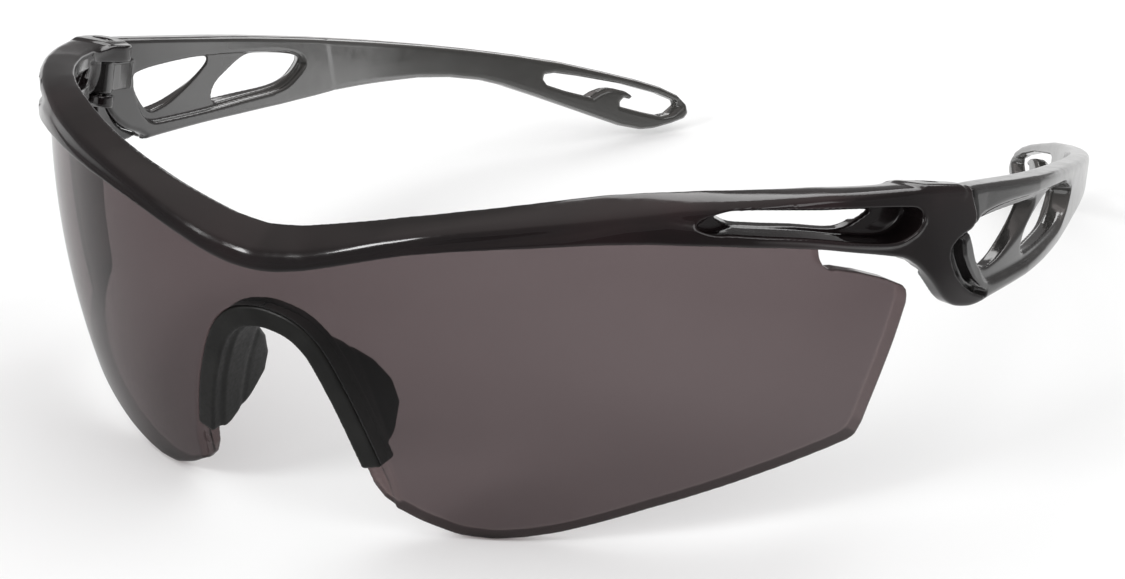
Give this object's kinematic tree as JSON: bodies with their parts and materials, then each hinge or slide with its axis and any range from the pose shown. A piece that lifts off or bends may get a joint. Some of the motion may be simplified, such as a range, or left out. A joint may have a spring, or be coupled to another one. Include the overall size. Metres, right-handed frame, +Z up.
{
  "type": "safety glasses",
  "caption": "Wrap-around tinted safety glasses with a one-piece lens, slotted brow bar, rubber nosepiece and folding windowed temples.",
  "frame": {"origin": "on the floor under the middle of the bounding box; the hinge screws stand at X +-65 mm, Y -30.9 mm, heads 40.65 mm above the floor", "axes": "+X towards the wearer's left, +Y back towards the ears, +Z up when the glasses stand on the lower lens edge and temple tips"},
  "size_m": [0.14, 0.1651, 0.0457],
  "materials": {
    "frame_gloss_black": "high gloss, dark brown-black nylon",
    "lens_smoke": "clear gloss, grey-brown smoke polycarbonate",
    "nose_rubber": "satin black soft rubber",
    "temple_smoke": "glossy translucent smoke grey",
    "screw_steel": "bright steel"
  },
  "bodies": {
    "front": {"brow_frame": "frame_gloss_black", "lens": "lens_smoke", "nosepiece": "nose_rubber", "hinge_screw_left": "screw_steel", "hinge_screw_right": "screw_steel"},
    "temple_left": {"temple_left": "temple_smoke"},
    "temple_right": {"temple_right": "temple_smoke"}
  },
  "joints": [
    {"name": "fold_left", "type": "hinge", "parent": "front", "child": "temple_left", "pos_m": [0.065, -0.0309, 0.04065], "axis": [0, 0.2634, 0.9647], "range_deg": [0, 76]},
    {"name": "fold_right", "type": "hinge", "parent": "front", "child": "temple_right", "pos_m": [-0.065, -0.0309, 0.04065], "axis": [0, -0.2634, -0.9647], "range_deg": [0, 70]}
  ]
}
